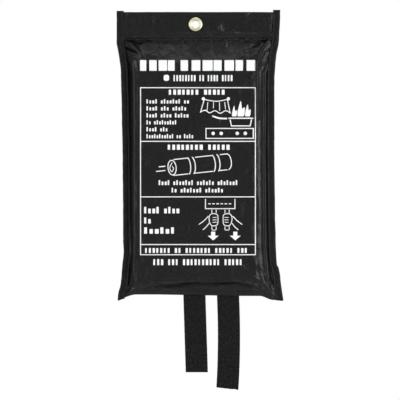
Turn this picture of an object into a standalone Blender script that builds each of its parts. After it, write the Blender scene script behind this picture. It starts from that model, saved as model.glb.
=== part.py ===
"""Fire blanket in a hanging pouch: glass cloth folded into a pack, a black cloth pouch and two pull tabs.

The pouch hangs from a brass eyelet in its header. The origin is the middle of the eyelet's hole, +Z is up and
the front of the pouch faces -Y. The side seams lie in the plane Y = 0. All lengths are in metres. In the
functions, u is a distance to the right of the pouch's centre line, and z is a height.
"""

import math

import bmesh
import bpy
from mathutils import Matrix, Vector

# Cloth
CLOTH = 0.0007  # thickness of the panels, the header band and the tape
GAP = 0.0003  # between pieces that touch
LAYER = 0.0005  # from the seam plane to the middle of the first layer of cloth
OVER_LAYER = LAYER + CLOTH + GAP  # to the middle of a layer that lies over the first

# Pouch
POUCH_X = 0.0027  # the centre line of the pouch, right of the eyelet
WAIST = 0.0858  # half the width between the two flares
TOP_FLARE = 0.0062  # how much wider each side is at the header
FOOT_FLARE = 0.0065  # and at the bottom corners
DEPTH = 0.0105  # from the seam plane to the outside of a bulged panel
SIDE_SHOULDER = 0.014  # width of the slope between the tape and the full depth
TOP_SHOULDER = 0.022  # height of the slope under the header
PANEL_TOP = -0.0118  # the panels' upper edge, inside the header band
BULGE_TOP = -0.0186  # where the panels start to bulge
BULGE_ROWS = (1.0, 0.72, 0.47, 0.27, 0.11, 0.0)  # shares of the top shoulder, from the full depth upwards
TOP_FLARE_HEIGHTS = (-0.046, -0.015)  # where the top flare starts and ends
FOOT_FLARE_HEIGHTS = (-0.262, -0.309)
FOOT_ROWS = (-0.283, -0.277, -0.270)  # rows of the panel where it turns in under the pack
BODY_HEIGHTS = (-0.25, -0.07)  # the lowest and highest row of its straight stretch

# Header band, folded over the top
HEADER_TOP = 0.0139
HEADER_SEAM = -0.0175  # its lower edge
HEADER_STEP = -0.0085  # where it starts to step out over the panels
HEADER_STITCH_Z = -0.0148
HEADER_INNER = 0.91  # share of its half width that is clear of the tapes

# Binding tape along each side
TAPE_WIDTH = 0.008
TAPE_CLEARANCE = 0.0006  # from the tape's inner edge to where a panel starts to bulge
TAPE_TOP = {"left": 0.0151, "right": 0.0162}
TAPE_BOTTOM = -0.3094
TAPE_STITCH_INSET = 0.0065  # from the tape's outer edge to its stitching
STITCH_END_GAP = 0.002  # from the ends of a row of stitching to the ends of its cloth

# Mouth at the bottom, between two lips that hinge on the panels
LIP_TOP = -0.2901
MOUTH_Z = -0.3046
MOUTH_HALF_GAP = 0.00145  # from the seam plane to a lip's inside
LIP_HALF_WIDTH = 0.0702
LIP_ROWS = (-0.3012, -0.2965)  # rows of the panel beside a lip
NOTCH_HALF_WIDTH = 0.0706  # of the cut in each panel that its lip fills
CORNER_DROP = 0.0045  # how far the corners hang below the mouth
CORNER_HALF_WIDTH = 0.089  # where they hang lowest
HEM_STITCH_RISE = 0.0045  # from the mouth up to the hem's stitching
HEM_STITCH_LIFT = 0.0006  # from the lip to the stitching, whose straight bar lies over a curved cloth

# Eyelet
HOLE_RADIUS = 0.004
BARREL_RADIUS = 0.00455
CLOTH_HOLE_RADIUS = 0.00485
FLANGE_RADIUS = 0.0077
CLINCH_RADIUS = 0.0059
WASHER_THICKNESS = 0.0007
EYELET_STEPS = 48

# Folded blanket
PACK_WIDTH = 0.138
PACK_THICKNESS = 0.0186
PACK_TOP = -0.042
PACK_BOTTOM = -0.2875
PACK_ROUNDING = 0.0075

# Pull tabs: a sewn end in the pack, and a free end that swings below the mouth
WEBBING_WIDTH = 0.025
WEBBING = 0.0016  # thickness
TAB_HINGE_Z = -0.309
ANCHOR_TOP = -0.249
STITCH_BOX = 0.018  # side of the square of stitching on each anchor
STITCH_BOX_Z = -0.264  # its middle
# middle of the webbing at the hinge, how far the free end leans and bows, and its two bottom corners
TABS = {
    "left": {"u": -0.0039, "lean": 0.0026, "bow": 0.0, "ends": (-0.3914, -0.3914)},
    "right": {"u": 0.0339, "lean": -0.0009, "bow": 0.0014, "ends": (-0.4085, -0.4113)},
}

THREAD_RADIUS = 0.00025


def smooth(value, start, end):
    """0 before start, 1 after end, with no corner between."""
    t = min(max((value - start) / (end - start), 0.0), 1.0)
    return t * t * (3 - 2 * t)


def half_width(z):
    foot_start, foot_end = FOOT_FLARE_HEIGHTS
    return WAIST + TOP_FLARE * smooth(z, *TOP_FLARE_HEIGHTS) + FOOT_FLARE * smooth(-z, -foot_start, -foot_end)


def swell(u, z):
    """Distance from the seam plane to the outside of a panel."""
    edge = LAYER + CLOTH / 2
    from_tape = half_width(z) - TAPE_WIDTH - TAPE_CLEARANCE - abs(u)
    side = min(max(from_tape / SIDE_SHOULDER, 0.0), 1.0)
    top = min(max((BULGE_TOP - z) / TOP_SHOULDER, 0.0), 1.0)
    closed = (MOUTH_HALF_GAP + CLOTH - edge) / (DEPTH - edge)
    foot = min(max((z - MOUTH_Z) / (LIP_TOP - MOUTH_Z), 0.0), 1.0)
    foot = closed + (1 - closed) * foot
    return edge + (DEPTH - edge) * math.sin(math.pi / 2 * side) ** 0.8 * math.sin(math.pi / 2 * top) * foot


def corner_drop(u, z):
    """How far the cloth hangs below its row's height: rows under the lip's top bend down to the corners."""
    below = max(0.0, (LIP_TOP - z) / (LIP_TOP - MOUTH_Z))
    return CORNER_DROP * smooth(abs(u), NOTCH_HALF_WIDTH, CORNER_HALF_WIDTH) * below


def new_material(name, color, roughness, metallic=0.0):
    material = bpy.data.materials.new(name)
    material.use_nodes = True
    shader = material.node_tree.nodes["Principled BSDF"]
    shader.inputs["Base Color"].default_value = (*color, 1.0)
    shader.inputs["Roughness"].default_value = roughness
    shader.inputs["Metallic"].default_value = metallic
    material.diffuse_color = (*color, 1.0)
    return material


def clear_scene():
    for obj in list(bpy.data.objects):
        bpy.data.objects.remove(obj, do_unlink=True)


def new_collection(name):
    collection = bpy.data.collections.new(name)
    bpy.context.scene.collection.children.link(collection)
    return collection


def add_object(name, bm, material, origin=(0, 0, 0)):
    """An object of this mesh, which is in world coordinates, with its own origin at a world point."""
    bmesh.ops.translate(bm, verts=bm.verts, vec=-Vector(origin))
    mesh = bpy.data.meshes.new(name)
    bm.to_mesh(mesh)
    bm.free()
    mesh.materials.append(material)
    obj = bpy.data.objects.new(name, mesh)
    obj.location = origin
    bpy.data.collections["fire_blanket"].objects.link(obj)
    return obj


def sheet(columns, rows, place, keep=lambda column, row: True):
    """A grid with a vertex for each column and row, moved to place(column, row), less the faces not kept."""
    bm = bmesh.new()
    bmesh.ops.create_grid(bm, x_segments=len(columns) - 1, y_segments=len(rows) - 1, size=1.0)

    def column_and_row(co):
        across = (co.x + 1) / 2 * (len(columns) - 1)
        along = (co.y + 1) / 2 * (len(rows) - 1)
        return across, along

    def between(values, at):
        low = min(int(at), len(values) - 2)
        return values[low] + (values[low + 1] - values[low]) * (at - low)

    dropped = []
    for face in bm.faces:
        across, along = column_and_row(face.calc_center_median())
        if not keep(between(columns, across), between(rows, along)):
            dropped.append(face)
    bmesh.ops.delete(bm, geom=dropped, context="FACES")
    for vertex in bm.verts:
        across, along = column_and_row(vertex.co)
        vertex.co = place(columns[round(across)], rows[round(along)])
    return bm


def solidify(obj, thickness, offset):
    modifier = obj.modifiers.new("thickness", "SOLIDIFY")
    modifier.thickness = thickness
    modifier.offset = offset
    return modifier


def bevel(obj, width, segments):
    modifier = obj.modifiers.new("rounding", "BEVEL")
    modifier.width = width
    modifier.segments = segments
    modifier.limit_method = "ANGLE"
    modifier.angle_limit = math.radians(40)
    return modifier


def cut(obj, cutter):
    modifier = obj.modifiers.new("cut", "BOOLEAN")
    modifier.operation = "DIFFERENCE"
    modifier.solver = "EXACT"
    modifier.object = cutter


def shade_round(obj):
    obj.data.shade_smooth()
    obj.data.set_sharp_from_angle(angle=math.radians(40))


def add_cutter(name):
    """The object that a primitive operator has just made, kept as a cutter."""
    cutter = bpy.context.object
    cutter.name = name
    cutter.hide_render = True
    cutter.display_type = "WIRE"
    for collection in list(cutter.users_collection):
        collection.objects.unlink(cutter)
    bpy.data.collections["cutters"].objects.link(cutter)
    return cutter


def box_cutter(name, low, high):
    middle = (Vector(low) + Vector(high)) / 2
    bpy.ops.mesh.primitive_cube_add(size=1, location=middle)
    cutter = add_cutter(name)
    cutter.data.transform(Matrix.Diagonal((*(Vector(high) - Vector(low)), 1)))
    return cutter


def spread(start, end, count):
    return [start + (end - start) * i / (count - 1) for i in range(count)]


def panel_heights():
    """The heights of a panel's rows, and of the tape's rows between its ends, so that they bend together."""
    heights = [MOUTH_Z, *LIP_ROWS, LIP_TOP + GAP, *FOOT_ROWS, FOOT_FLARE_HEIGHTS[0]]
    heights += spread(*BODY_HEIGHTS, 4) + [TOP_FLARE_HEIGHTS[0]]
    heights += [BULGE_TOP - TOP_SHOULDER * share for share in BULGE_ROWS]
    return heights + [TOP_FLARE_HEIGHTS[1], PANEL_TOP]


def panel_columns():
    """Columns as (u where it is fixed, share of the way from there to the tape, is it under the tape)."""
    slope_start = WAIST - TAPE_WIDTH - TAPE_CLEARANCE - SIDE_SHOULDER
    inner = [(u, 0.0, False) for u in spread(0, slope_start, 4) + spread(slope_start, NOTCH_HALF_WIDTH, 3)[1:]]
    outer = [(NOTCH_HALF_WIDTH, share, False) for share in (0.35, 0.65, 0.88, 1.0)]
    return inner + outer + [(NOTCH_HALF_WIDTH, 1.0, True)]


def add_panel(name, material, facing):
    """A bulged panel. Facing is -1 for the front and 1 for the back."""
    half = panel_columns()
    signed = [(-1, c) for c in reversed(half[1:])] + [(1, c) for c in half]

    def across(column, z):
        side, (u, share, under_tape) = column
        tape = half_width(z) - TAPE_WIDTH
        reach = u + (tape - u) * share if share else u
        return side * (half_width(z) - CLOTH - 2 * GAP if under_tape else reach)

    def place(number, z):
        column = signed[round(number)]
        undropped = across(column, z)
        low = z - corner_drop(undropped, z)
        return (POUCH_X - facing * across(column, low), facing * swell(undropped, z), low)

    def keep(number, z):
        return z > LIP_TOP or abs(across(signed[int(number)], z)) > LIP_HALF_WIDTH and not in_notch(number)

    def in_notch(number):
        first, last = signed[int(number)], signed[int(number) + 1]
        return max(first[1][1], last[1][1]) == 0

    panel = add_object(name, sheet(list(range(len(signed))), panel_heights(), place, keep), material)
    solidify(panel, CLOTH, -1)
    shade_round(panel)
    return panel


def add_lip(name, material, facing):
    """The strip between a panel's notch and the mouth. Its origin is on the fold that it opens about."""
    columns = spread(-LIP_HALF_WIDTH, LIP_HALF_WIDTH, 9)
    rows = spread(MOUTH_Z, LIP_TOP - GAP, 3)

    def place(u, z):
        return (POUCH_X - facing * u, facing * swell(u, z), z)

    lip = add_object(name, sheet(columns, rows, place), material, lip_hinge(facing))
    solidify(lip, CLOTH, -1)
    return lip


def lip_hinge(facing):
    return (POUCH_X, facing * (DEPTH - CLOTH / 2), LIP_TOP)


def add_header_band(material, eyelet_cutter):
    """A strip folded over the top, whose two lower edges step out over the panels between the tapes."""
    front = [(-OVER_LAYER, HEADER_SEAM), (-OVER_LAYER, TOP_FLARE_HEIGHTS[1]), (-OVER_LAYER, PANEL_TOP + GAP)]
    front += [(-LAYER, HEADER_STEP), (-LAYER, 0.0), (-LAYER, 0.007), (-LAYER, HEADER_TOP - CLOTH / 2 - LAYER)]
    fold = HEADER_TOP - CLOTH / 2
    profile = front + [(0.0, fold)] + [(-y, z) for y, z in reversed(front)]
    columns = [-1.0] + spread(-HEADER_INNER, HEADER_INNER, 9) + [1.0]

    def place(share, number):
        y, z = profile[round(number)]
        inside_tape = half_width(z) - TAPE_WIDTH - GAP
        reach = half_width(z) - CLOTH - 2 * GAP if abs(share) == 1 else inside_tape * abs(share) / HEADER_INNER
        return (POUCH_X + math.copysign(reach, share), y, z)

    def keep(share, number):
        lowest = min(profile[int(number)][1], profile[int(number) + 1][1])
        return abs(share) < HEADER_INNER or lowest >= HEADER_STEP

    band = add_object("header_band", sheet(columns, list(range(len(profile))), place, keep), material)
    solidify(band, CLOTH, 0)
    cut(band, eyelet_cutter)
    shade_round(band)
    return band


def tape_heights(side):
    return [TAPE_BOTTOM] + panel_heights() + [TAPE_TOP[side]]


def add_binding(side, material):
    """A tape folded round a side seam."""
    sign = {"left": -1, "right": 1}[side]
    fold = CLOTH / 2 + OVER_LAYER
    round_fold = [
        (fold - OVER_LAYER * math.sin(a), -OVER_LAYER * math.cos(a)) for a in spread(0, math.pi, 5)
    ]
    flat = [(TAPE_WIDTH, -OVER_LAYER), (TAPE_WIDTH / 2, -OVER_LAYER)]
    profile = flat + round_fold + [(inset, -y) for inset, y in reversed(flat)]

    def place(number, z):
        inset, y = profile[round(number)]
        return (POUCH_X + sign * (half_width(z) - inset), y, z)

    bm = sheet(list(range(len(profile))), tape_heights(side), place)
    binding = add_object(f"{side}_binding", bm, material)
    solidify(binding, CLOTH, 0)
    shade_round(binding)
    return binding


def add_thread(name, material, points, origin=(0, 0, 0)):
    """A row of stitching as one thin bar through these points."""
    curve = bpy.data.curves.new(name, "CURVE")
    curve.dimensions = "3D"
    curve.bevel_depth = THREAD_RADIUS
    curve.bevel_resolution = 1
    curve.use_fill_caps = True
    spline = curve.splines.new("POLY")
    spline.points.add(len(points) - 1)
    for point, place in zip(spline.points, points):
        point.co = (*(Vector(place) - Vector(origin)), 1)
    curve.materials.append(material)
    thread = bpy.data.objects.new(name, curve)
    thread.location = origin
    bpy.data.collections["fire_blanket"].objects.link(thread)
    return thread


def add_binding_stitch(side, material):
    sign = {"left": -1, "right": 1}[side]
    y = -(OVER_LAYER + CLOTH / 2 + GAP + THREAD_RADIUS)
    heights = tape_heights(side)
    heights[0] += STITCH_END_GAP
    heights[-1] -= STITCH_END_GAP
    points = [(POUCH_X + sign * (half_width(z) - TAPE_STITCH_INSET), y, z) for z in heights]
    return add_thread(f"{side}_binding_stitch", material, points)


def add_header_stitch(material):
    y = -(OVER_LAYER + CLOTH / 2 + GAP + THREAD_RADIUS)
    reach = half_width(HEADER_STITCH_Z) - TAPE_WIDTH - STITCH_END_GAP / 2
    points = [(POUCH_X + u, y, HEADER_STITCH_Z) for u in spread(-reach, reach, 3)]
    return add_thread("header_stitch", material, points)


def add_hem_stitch(name, material, facing):
    z = MOUTH_Z + HEM_STITCH_RISE
    reach = LIP_HALF_WIDTH - STITCH_END_GAP
    off = HEM_STITCH_LIFT + THREAD_RADIUS
    points = [(POUCH_X + u, facing * (swell(u, z) + off), z) for u in spread(-reach, reach, 9)]
    return add_thread(name, material, points, lip_hinge(facing))


def add_turned(name, material, profile):
    """A ring turned from a closed profile of (radius, distance in front of the seam plane)."""
    bm = bmesh.new()
    corners = [bm.verts.new((radius, 0, height)) for radius, height in profile]
    for first, second in zip(corners, corners[1:] + corners[:1]):
        bm.edges.new((first, second))
    ring = add_object(name, bm, material)
    screw = ring.modifiers.new("turn", "SCREW")
    screw.axis = "Z"
    screw.steps = screw.render_steps = EYELET_STEPS
    screw.use_merge_vertices = True
    screw.merge_threshold = 0.00001
    screw.use_smooth_shade = True
    ring.rotation_euler = (math.pi / 2, 0, 0)
    return ring


def add_eyelet(material):
    """The flange on the front, the barrel through the header, and the clinched edge behind the washer."""
    seat = LAYER + CLOTH / 2 + GAP
    behind = -(seat + WASHER_THICKNESS + GAP)
    profile = [
        (BARREL_RADIUS, behind),
        (BARREL_RADIUS, seat),
        (FLANGE_RADIUS, seat),
        (FLANGE_RADIUS, seat + 0.0003),
        (FLANGE_RADIUS - 0.0008, seat + 0.0009),
        (FLANGE_RADIUS - 0.0021, seat + 0.0011),
        (HOLE_RADIUS + 0.0006, seat + 0.0009),
        (HOLE_RADIUS, seat + 0.0003),
        (HOLE_RADIUS, behind - 0.0004),
        (HOLE_RADIUS + 0.0004, behind - 0.0009),
        (CLINCH_RADIUS - 0.0005, behind - 0.0009),
        (CLINCH_RADIUS, behind - 0.0005),
        (CLINCH_RADIUS, behind),
    ]
    return add_turned("eyelet", material, profile[::-1])


def add_washer(material):
    near = -(LAYER + CLOTH / 2 + GAP)
    far = near - WASHER_THICKNESS
    profile = [
        (CLOTH_HOLE_RADIUS, near),
        (FLANGE_RADIUS, near),
        (FLANGE_RADIUS, far + 0.0002),
        (FLANGE_RADIUS - 0.0002, far),
        (CLOTH_HOLE_RADIUS, far),
    ]
    return add_turned("eyelet_washer", material, profile)


def tab_middle(side, z):
    """The u of the middle of a tab's webbing at a height."""
    tab = TABS[side]
    down = max(0.0, (TAB_HINGE_Z - z) / (TAB_HINGE_Z - min(tab["ends"])))
    return tab["u"] + tab["lean"] * down + tab["bow"] * 4 * down * (1 - down)


def add_webbing(name, material, side, top, ends, origin):
    """A length of webbing in the seam plane, with its edges rounded to half its thickness."""
    rows = spread(0.0, 1.0, 9)

    def place(across, share):
        bottom = ends[0] + (ends[1] - ends[0]) * (across + 1) / 2
        z = bottom + (top - bottom) * share
        return (POUCH_X + tab_middle(side, z) + across * WEBBING_WIDTH / 2, 0, z)

    webbing = add_object(name, sheet([-1.0, 0.0, 1.0], rows, place), material, origin)
    solidify(webbing, WEBBING, 0)
    bevel(webbing, WEBBING * 0.47, 3)
    shade_round(webbing)
    return webbing


def slot_of(side):
    """Low and high corners of the slot in the pack that holds a tab's sewn end and its stitching."""
    u = POUCH_X + TABS[side]["u"]
    half = WEBBING_WIDTH / 2 + GAP
    front = WEBBING / 2 + 2 * GAP + 2 * THREAD_RADIUS
    return (u - half, -front - GAP, PACK_BOTTOM - 0.01), (u + half, WEBBING / 2 + GAP, ANCHOR_TOP + GAP)


def add_pack(material):
    """The folded blanket, with a slot in its bottom fold for each tab's sewn end."""
    middle = Vector((POUCH_X, 0, (PACK_TOP + PACK_BOTTOM) / 2))
    bm = bmesh.new()
    bmesh.ops.create_cube(bm, size=1)
    bmesh.ops.scale(bm, verts=bm.verts, vec=(PACK_WIDTH, PACK_THICKNESS, PACK_TOP - PACK_BOTTOM))
    bmesh.ops.translate(bm, verts=bm.verts, vec=middle)
    pack = add_object("folded_blanket", bm, material, middle)
    bevel(pack, PACK_ROUNDING, 4)
    for side in TABS:
        cut(pack, box_cutter(f"{side}_slot_cutter", *slot_of(side)))
    shade_round(pack)
    return pack


def add_box_stitch(side, material):
    """A square of stitching with both diagonals, joined into one body. Bars that cross differ in thickness."""
    u = POUCH_X + TABS[side]["u"]
    y = -(WEBBING / 2 + GAP + THREAD_RADIUS)
    half = STITCH_BOX / 2
    thread = 2 * THREAD_RADIUS
    bars = []
    for angle, middle, length, thick in (
        (0, (0, half), STITCH_BOX + thread, thread),
        (0, (0, -half), STITCH_BOX + thread, thread),
        (90, (half, 0), STITCH_BOX, 0.92 * thread),
        (90, (-half, 0), STITCH_BOX, 0.92 * thread),
        (45, (0, 0), STITCH_BOX * math.sqrt(2), 0.84 * thread),
        (-45, (0, 0), STITCH_BOX * math.sqrt(2), 0.76 * thread),
    ):
        bm = bmesh.new()
        bmesh.ops.create_cube(bm, size=1)
        bmesh.ops.scale(bm, verts=bm.verts, vec=(length, thick, thick))
        bmesh.ops.rotate(bm, verts=bm.verts, matrix=Matrix.Rotation(math.radians(angle), 3, "Y"))
        bmesh.ops.translate(bm, verts=bm.verts, vec=(u + middle[0], y, STITCH_BOX_Z + middle[1]))
        bars.append(add_object(f"{side}_tab_stitch", bm, material))
    stitch = bars[0]
    for bar in bars[1:]:
        bar.name = f"{side}_stitch_bar"
        bar.hide_render = True
        bar.display_type = "WIRE"
        bpy.data.collections["fire_blanket"].objects.unlink(bar)
        bpy.data.collections["cutters"].objects.link(bar)
        join = stitch.modifiers.new("join", "BOOLEAN")
        join.operation = "UNION"
        join.solver = "EXACT"
        join.object = bar
    return stitch


def parent_to(parent, children):
    """Parents objects and leaves them where they are."""
    bpy.context.view_layer.update()
    for child in children:
        child.parent = parent
        child.matrix_parent_inverse = parent.matrix_world.inverted()


def main():
    clear_scene()
    new_collection("fire_blanket")
    new_collection("cutters")
    cloth = new_material("pouch_cloth", (0.018, 0.018, 0.020), 0.55)
    tape = new_material("binding_tape", (0.012, 0.012, 0.013), 0.75)
    thread = new_material("thread", (0.010, 0.010, 0.011), 0.7)
    webbing = new_material("tab_webbing", (0.009, 0.009, 0.010), 0.85)
    brass = new_material("eyelet_brass", (0.80, 0.72, 0.46), 0.3, 1.0)
    glass_cloth = new_material("glass_cloth", (0.84, 0.83, 0.79), 0.75)

    bpy.ops.mesh.primitive_cylinder_add(
        vertices=EYELET_STEPS, radius=CLOTH_HOLE_RADIUS, depth=0.01, rotation=(math.pi / 2, 0, 0)
    )
    eyelet_cutter = add_cutter("eyelet_cutter")

    front_panel = add_panel("front_panel", cloth, -1)
    pouch = [add_panel("back_panel", cloth, 1), add_header_band(cloth, eyelet_cutter)]
    pouch += [add_header_stitch(thread), add_eyelet(brass), add_washer(brass)]
    for side in TABS:
        pouch += [add_binding(side, tape), add_binding_stitch(side, thread)]
    front_lip = add_lip("front_lip", cloth, -1)
    back_lip = add_lip("back_lip", cloth, 1)
    front_hem = add_hem_stitch("front_hem_stitch", thread, -1)
    back_hem = add_hem_stitch("back_hem_stitch", thread, 1)

    pack = add_pack(glass_cloth)
    on_pack = []
    for side in TABS:
        hinge = (POUCH_X + TABS[side]["u"], 0, TAB_HINGE_Z)
        anchor_bottom = TAB_HINGE_Z + WEBBING / 2 + GAP
        ends = (anchor_bottom, anchor_bottom)
        on_pack += [
            add_webbing(f"{side}_tab_anchor", webbing, side, ANCHOR_TOP, ends, (0, 0, 0)),
            add_box_stitch(side, thread),
            add_webbing(
                f"{side}_pull_tab", webbing, side, TAB_HINGE_Z + WEBBING / 2, TABS[side]["ends"], hinge
            ),
        ]

    parent_to(front_panel, [*pouch, front_lip, back_lip, pack])
    parent_to(front_lip, [front_hem])
    parent_to(back_lip, [back_hem])
    parent_to(pack, on_pack)


main()
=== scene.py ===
"""Looks of a fire blanket in a hanging pouch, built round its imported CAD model.

Lengths are in metres, in the CAD's frame: the origin is the middle of the eyelet's hole, +Z is up, and the
printed front faces -Y. In the functions, u is a distance to the right of the pouch's centre line, z is a
height, and facing is -1 for the front and 1 for the back.
"""

import math

import bmesh
import bpy
import numpy as np
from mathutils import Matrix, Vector, noise
from mathutils.bvhtree import BVHTree


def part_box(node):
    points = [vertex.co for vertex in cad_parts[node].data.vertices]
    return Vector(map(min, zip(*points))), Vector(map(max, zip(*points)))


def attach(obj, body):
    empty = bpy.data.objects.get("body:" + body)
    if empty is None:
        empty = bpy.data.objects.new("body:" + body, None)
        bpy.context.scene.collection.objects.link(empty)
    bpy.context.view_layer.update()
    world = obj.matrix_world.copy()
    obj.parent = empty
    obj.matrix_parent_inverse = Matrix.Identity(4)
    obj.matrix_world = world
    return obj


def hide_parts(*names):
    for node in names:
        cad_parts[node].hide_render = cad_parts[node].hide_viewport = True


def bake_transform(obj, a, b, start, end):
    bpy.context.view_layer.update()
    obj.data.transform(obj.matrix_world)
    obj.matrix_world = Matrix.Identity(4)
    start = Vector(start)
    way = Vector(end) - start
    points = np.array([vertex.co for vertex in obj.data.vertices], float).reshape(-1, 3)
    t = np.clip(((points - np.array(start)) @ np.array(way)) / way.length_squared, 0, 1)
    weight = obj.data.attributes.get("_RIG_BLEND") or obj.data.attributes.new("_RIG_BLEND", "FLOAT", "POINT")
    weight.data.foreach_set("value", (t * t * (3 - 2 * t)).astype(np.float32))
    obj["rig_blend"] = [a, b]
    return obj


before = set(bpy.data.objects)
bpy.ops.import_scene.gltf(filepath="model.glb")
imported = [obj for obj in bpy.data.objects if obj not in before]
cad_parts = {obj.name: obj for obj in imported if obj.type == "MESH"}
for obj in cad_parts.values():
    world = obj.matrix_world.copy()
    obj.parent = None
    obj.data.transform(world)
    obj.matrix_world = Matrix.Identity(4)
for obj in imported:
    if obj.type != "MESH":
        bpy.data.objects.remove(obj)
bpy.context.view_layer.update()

# Read from the frame
PANEL_LOW, PANEL_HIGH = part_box("front_panel")
LIP_LOW, LIP_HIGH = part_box("front_lip")
BAND_LOW, BAND_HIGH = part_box("header_band")
PACK_LOW, PACK_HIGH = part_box("folded_blanket")
POUCH_X = (PANEL_LOW.x + PANEL_HIGH.x) / 2
DEPTH = -PANEL_LOW.y  # from the seam plane to the outside of a bulged panel
PANEL_TOP = PANEL_HIGH.z
MOUTH = LIP_LOW.z
FOLD = LIP_HIGH.z  # where the panels turn in under the pack
SEAM = BAND_LOW.z
HEADER_TOP = BAND_HIGH.z
TAPE_TOP = {-1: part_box("left_binding")[1].z, 1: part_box("right_binding")[1].z}
TAPE_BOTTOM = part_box("left_binding")[0].z

# Cloth and tape, as mid surfaces that get their thickness from Solidify
CLOTH = 0.0005
PANEL_EDGE = 0.00085  # from the seam plane to a panel where it is flat against the other
MOUTH_EDGE = 0.00215  # and at the mouth
HEADER_INNER = 0.0005  # to the header above the panels
HEADER_OUTER = 0.0014  # and over the panels
HEADER_CUT = 0.065  # its height before it is folded
HEADER_HOLE = 0.00485
EYELET_HOLE = 0.004
TAPE = 0.0006
TAPE_WIDTH = 0.008
TAPE_STITCH = 0.0019  # from its inner edge to the stitching
TAPE_OVER_PANEL = 0.0015
TAPE_CUT = 0.0175  # its width before it is folded
TAPE_SLANT = {-1: 0.0026, 1: 0.0005}  # how much higher the inner corner of its lower end is
TAPE_OVER_HEADER = 0.0021
SIDE_SHOULDER = 0.0115
TOP_SHOULDER = 0.022
CORNER_DROP = 0.005
MOUTH_TILT = 0.0008
MOUTH_RISE = 0.0004
PACK_SHIFT = -0.0024  # the pack lies a little to the left in the pouch

# How far each seam stands out from the CAD's outline, as (height, distance) in millimetres
SWAY = {
    -1: ((20, -0.5), (-16, -0.5), (-23, 0.3), (-41, 1.8), (-56, 0.9), (-100, -0.1), (-150, -1.0),
         (-210, -1.5), (-244, -1.6), (-255, -2.2), (-270, -1.2), (-293, -3.4), (-305, -2.0)),
    1: ((12, 0.6), (-18, -0.7), (-29, 0.0), (-42, 1.4), (-63, 0.3), (-150, 0.3), (-210, 0.9), (-243, 1.7),
        (-268, 2.6), (-287, 2.8), (-300, 2.9), (-309, 3.7)),
}

# Cloth simulation
SIM_COLUMNS = 80
SIM_ROWS = 130
SIM_FRAMES = 28
FLAT_HALF = 0.0900  # half the width that a panel is cut to
HEM_ROWS = 14
FLAT_SLACK = 0.995  # its cut height, as a share of the path over the pack
CLOTH_SETTINGS = {
    "quality": 7, "mass": 0.1, "tension_stiffness": 30, "compression_stiffness": 30, "shear_stiffness": 8,
    "bending_stiffness": 0.6, "tension_damping": 8, "compression_damping": 8, "shear_damping": 8,
    "bending_damping": 1, "air_damping": 4, "vertex_group_mass": "held", "use_pressure": True,
    "uniform_pressure_force": -1.5,
}

THREAD = 0.00028  # its radius
STITCH = 0.0019  # the length of one


def smooth(value, start, end):
    """0 before start, 1 after end, with no corner between."""
    t = np.clip((value - start) / (end - start), 0, 1)
    return t * t * (3 - 2 * t)


def ripple(x, z, scale, seed):
    """Noise of -1 to 1 over two arrays of coordinates."""
    x, z = np.broadcast_arrays(x, z)
    values = [noise.noise((a * scale, b * scale, seed)) for a, b in zip(x.ravel(), z.ravel())]
    return np.array(values).reshape(x.shape)


def widest(low, high):
    """Half the pouch's width between two heights, from the CAD's left tape."""
    points = np.array([v.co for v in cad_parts["left_binding"].data.vertices])
    inside = (points[:, 2] > low) & (points[:, 2] < high)
    return POUCH_X - points[inside, 0].min()


WAIST = widest(-0.26, -0.0445)
TOP_FLARE = widest(-0.012, 1.0) - WAIST
FOOT_FLARE = widest(-1.0, -0.308) - WAIST


def sway(side, z):
    points = SWAY[side]
    out = np.full(np.shape(z), points[0][1] * 0.001)
    for (high, before), (low, after) in zip(points, points[1:]):
        out = out + (after - before) * 0.001 * smooth(-np.asarray(z), -high * 0.001, -low * 0.001)
    return out


def reach(side, z):
    """From the centre line to the outer edge of a side's tape."""
    z = np.asarray(z, float)
    straight = WAIST + TOP_FLARE * smooth(z, -0.046, -0.015) + FOOT_FLARE * smooth(-z, 0.262, 0.309)
    return straight + sway(side, z)


def inset(u, z):
    """From the outer edge of the nearer tape inwards."""
    return np.where(u < 0, reach(-1, z) + u, reach(1, z) - u)


def seam_wave(u, z):
    """How far the side seams sway out of their plane. The middle of the header stays in it."""
    side = np.sign(u)
    wave = 0.0011 * ripple(side * 3.0, z, 22, 4.0) + 0.0005 * ripple(side * 5.0, z, 75, 9.0)
    return wave * smooth(np.abs(u), 0.035, 0.08)


def swell(u, z):
    """From the seam plane to the middle of a bulged panel's cloth."""
    side = np.clip((inset(u, z) - TAPE_WIDTH - 0.0006) / SIDE_SHOULDER, 0, 1)
    top = np.clip((SEAM - 0.001 - z) / TOP_SHOULDER, 0, 1)
    closed = (MOUTH_EDGE - PANEL_EDGE) / (DEPTH - PANEL_EDGE)
    foot = closed + (1 - closed) * np.clip((z - MOUTH) / (FOLD - MOUTH), 0, 1)
    bulge = np.sin(math.pi / 2 * side) ** 0.8 * np.sin(math.pi / 2 * top) * foot
    return PANEL_EDGE + (DEPTH - PANEL_EDGE) * bulge


def corner_drop(u, z):
    """The corners hang below the mouth, whose left half is a little higher than its right."""
    below = np.clip((FOLD - z) / (FOLD - MOUTH), 0, 1)
    corner = np.where(u < 0, smooth(-u, 0.0690, 0.0940), smooth(u, 0.0690, 0.0850))
    middle = MOUTH_TILT * np.clip(u / 0.045, -1, 1) - MOUTH_RISE
    return (CORNER_DROP * corner + middle * (1 - corner)) * below


def link(obj):
    bpy.context.scene.collection.objects.link(obj)
    return obj


def mesh_object(name, points, faces, material=None):
    mesh = bpy.data.meshes.new(name)
    points = np.asarray(points, float).reshape(-1, 3).tolist()
    mesh.from_pydata(points, [], [list(map(int, face)) for face in faces])
    mesh.shade_smooth()
    if material:
        mesh.materials.append(material)
    return link(bpy.data.objects.new(name, mesh))


def from_bmesh(name, bm, material=None):
    """An object of what a bmesh holds."""
    mesh = bpy.data.meshes.new(name)
    bm.to_mesh(mesh)
    bm.free()
    if material:
        mesh.materials.append(material)
    return link(bpy.data.objects.new(name, mesh))


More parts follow.
